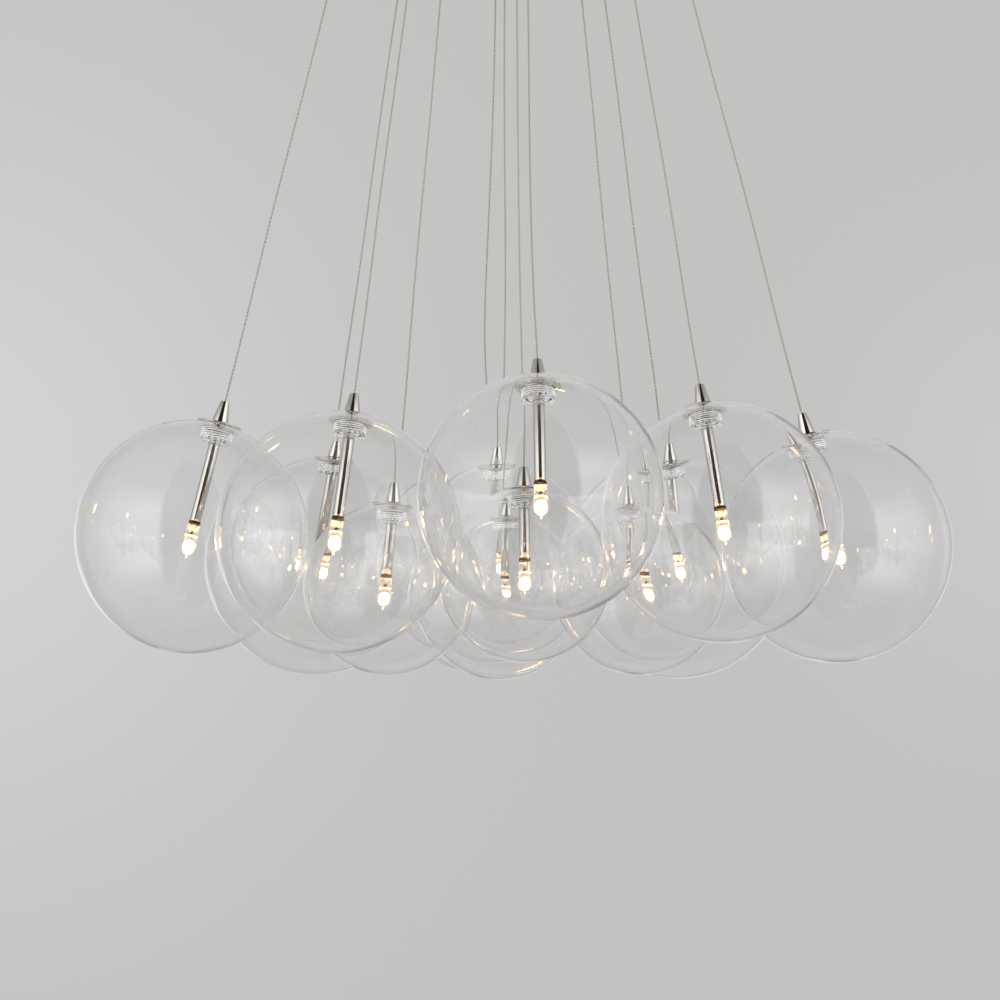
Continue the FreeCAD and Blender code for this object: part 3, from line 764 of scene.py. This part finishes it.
def backdrop_glow(tree, place, math_node):
    """How much brighter the backdrop is at each place: a soft pool of light to the left of the pendant, and a
    weaker one to its right. Each pool falls off with the angle from its middle."""
    total = 0.0
    for heading, rise, reach, level in POOLS:
        heading, rise = math.radians(heading), math.radians(rise)
        middle = (math.sin(heading) * math.cos(rise), math.cos(heading) * math.cos(rise), math.sin(rise))
        way = {0: place.outputs["Generated"]}
        apart = add(tree, "ShaderNodeVectorMath", way, {1: middle}, operation="DISTANCE")
        share = math_node("DIVIDE", apart.outputs["Value"], math.radians(reach))
        fall = math_node("EXPONENT", math_node("MULTIPLY", math_node("MULTIPLY", share, share), -1.0))
        total = math_node("ADD", math_node("MULTIPLY", fall, level), total)
    return total


def make_world():
    """A pale studio. A look straight at it, or through glass, shows a plain pale backdrop. What is mirrored
    shows the rest of the studio too: a dark side behind the viewer, a tall soft light to each side of it, and
    bright strips just outside the backdrop. So does a ray that a rim of glass bends 20 to 55 degrees away
    from the backdrop's middle, which draws the edges of the globes."""
    world = bpy.data.worlds.new("studio")
    bpy.context.scene.world = world
    world.use_nodes = True
    tree = world.node_tree
    tree.nodes.clear()
    place = add(tree, "ShaderNodeTexCoord")
    way = add(tree, "ShaderNodeSeparateXYZ", {0: place.outputs["Generated"]})
    x, y, z = way.outputs

    def math_node(operation, *values):
        node = add(tree, "ShaderNodeMath", operation=operation)
        for i, v in enumerate(values):
            if isinstance(v, (int, float)):
                node.inputs[i].default_value = v
            else:
                tree.links.new(v, node.inputs[i])
        return node.outputs[0]

    def ramp(factor, stops):
        node = add(tree, "ShaderNodeValToRGB", {0: factor})
        while len(node.color_ramp.elements) < len(stops):
            node.color_ramp.elements.new(1.0)
        for element, (position, level) in zip(node.color_ramp.elements, stops):
            element.position = position
            element.color = (*(level if isinstance(level, tuple) else (level,) * 3), 1)
        return node.outputs[0]

    def times(*values):
        return math_node("MULTIPLY", *values)

    def share(value, scale, start):
        return math_node("ADD", times(value, scale), start)

    # turned = arccos(-y / flat) / pi, raised = arctan(z / flat) / pi + 1/2, with flat the length of (x, y).
    flat = math_node("SQRT", math_node("ADD", times(x, x), times(y, y)))
    flat = math_node("MAXIMUM", flat, 1e-4)
    from_viewer = math_node("ARCCOSINE", math_node("DIVIDE", times(y, -1.0), flat))
    turned = math_node("DIVIDE", from_viewer, math.pi)
    raised = share(math_node("ARCTANGENT", math_node("DIVIDE", z, flat)), 1 / math.pi, 0.5)
    forward = share(y, 0.5, 0.5)
    behind_viewer = times(ramp(turned, VIEWER_SIDE), ramp(raised, VIEWER_RISE))
    window = math_node("MAXIMUM", ramp(raised, WINDOW_RISE), behind_viewer)
    room, soft_lights = ramp(forward, ROOM), ramp(turned, SOFT_LIGHTS)
    studio = add(tree, "ShaderNodeMix", {0: window, 6: room, 7: soft_lights}, data_type="RGBA")
    strip = times(ramp(turned, STRIP_SIDE), ramp(raised, STRIP_RISE))
    gain = share(strip, STRIP, SOFTBOX)
    studio_light = add(tree, "ShaderNodeVectorMath", {0: studio.outputs[2], 3: gain}, operation="SCALE")

    backdrop = add(tree, "ShaderNodeMix", {0: backdrop_glow(tree, place, math_node)}, data_type="RGBA")
    backdrop.inputs[6].default_value = linear(BACKDROP)
    backdrop.inputs[7].default_value = linear(BACKDROP_GLOW)

    path = add(tree, "ShaderNodeLightPath")
    mirrored = math_node("GREATER_THAN", path.outputs["Glossy Depth"], 0.5)
    refracted = math_node("GREATER_THAN", path.outputs["Transmission Depth"], 0.5)
    mirrored = math_node("MAXIMUM", mirrored, times(refracted, ramp(forward, RIM_LOOK)))
    sides = {0: mirrored, 6: backdrop.outputs[2], 7: studio_light.outputs[0]}
    seen = add(tree, "ShaderNodeMix", sides, data_type="RGBA")
    sides = {0: path.outputs["Is Diffuse Ray"], 6: seen.outputs[2]}
    soft = add(tree, "ShaderNodeMix", sides, data_type="RGBA")
    soft.inputs[7].default_value = (AMBIENT, AMBIENT, AMBIENT, 1)
    glow = add(tree, "ShaderNodeBackground", {"Color": soft.outputs[2]})
    add(tree, "ShaderNodeOutputWorld", {"Surface": glow.outputs[0]})


def make_floor():
    """A plain pale floor, well below the pendant."""
    angle = np.arange(FLOOR_SIDES) * TURN / FLOOR_SIDES
    across, along = FLOOR_RADIUS * np.cos(angle), FLOOR_RADIUS * np.sin(angle)
    rim = np.stack([across, along, 0 * angle - FLOOR_DEPTH], axis=-1)
    mesh = bpy.data.meshes.new("floor")
    mesh.from_pydata(rim.tolist(), [], [list(range(FLOOR_SIDES))])
    floor = bpy.data.objects.new("floor", mesh)
    bpy.context.scene.collection.objects.link(floor)
    mesh.materials.append(new_material("matt_floor_paint", "D2D2D0", 0.9)[0])
    floor.visible_glossy = False
    floor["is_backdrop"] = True


def make_lights():
    """Two large soft lights, one to each side, for the surfaces that aren't mirrors."""
    for name, x, energy in SOFT_BOXES:
        data = bpy.data.lights.new(name, "AREA")
        data.energy = energy
        data.shape = "RECTANGLE"
        data.size, data.size_y = 1.2, 2.0
        light = bpy.data.objects.new(name, data)
        bpy.context.scene.collection.objects.link(light)
        light.location = (x, -1.6, 0.1)
        aim = Vector((0, 0, -0.3)) - light.location
        light.rotation_euler = aim.to_track_quat("-Z", "Y").to_euler()
        light.visible_camera = False
        light.visible_glossy = False
        light.visible_transmission = False


# The camera stands 3.4 m in front of the pendant, 0.3 m to its left and 0.34 m below the globes' middles, and
# looks a little up.
CAMERA_PLACE = Vector((-0.3110, -3.3868, -0.8049))
CAMERA_HEADING = 5.09
CAMERA_PITCH = 6.22
CAMERA_ROLL = -0.27
CAMERA_LENS = 178.6


def make_camera():
    """The photograph's camera."""
    data = bpy.data.cameras.new("camera")
    data.sensor_width = 36
    data.lens = CAMERA_LENS
    data.clip_start, data.clip_end = 0.05, 100
    camera = bpy.data.objects.new("camera", data)
    bpy.context.scene.collection.objects.link(camera)
    heading, pitch, roll = (math.radians(a) for a in (CAMERA_HEADING, CAMERA_PITCH, CAMERA_ROLL))
    turn_to = Matrix.Rotation(-heading, 4, "Z") @ Matrix.Rotation(math.pi / 2 + pitch, 4, "X")
    camera.matrix_world = Matrix.Translation(CAMERA_PLACE) @ turn_to @ Matrix.Rotation(roll, 4, "Z")
    bpy.context.scene.camera = camera


def main():
    """Sets the stage, makes the materials, dresses the canopy and makes every drop."""
    scene = bpy.context.scene
    scene.view_settings.view_transform = "Standard"
    scene.cycles.max_bounces = 40
    scene.cycles.transmission_bounces = 40
    scene.cycles.glossy_bounces = 12
    scene.cycles.diffuse_bounces = 3
    make_camera()
    make_world()
    make_lights()
    make_floor()
    paint = {
        "glass": blown_glass(),
        "acrylic": clear_acrylic(),
        "crest": frosted_crest_with_painted_glow(),
        "quartz": quartz(),
        "glow": filament_glow(),
        "chrome": polished_chrome(),
        "zinc": zinc_plate(),
        "nickel": nickel_wire(),
        "foil": molybdenum_foil(),
        "phenolic": black_phenolic(),
        "moulding": white_moulding(),
        "braid": braided_sleeve(),
    }
    dress_canopy(paint)
    for drop in DROPS:
        make_drop(drop, paint)


def corners(box):
    """A box's two corners as plain lists."""
    return [list(corner) for corner in box]


main()
{"cad": corners(cad_box), "visual": corners(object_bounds())}
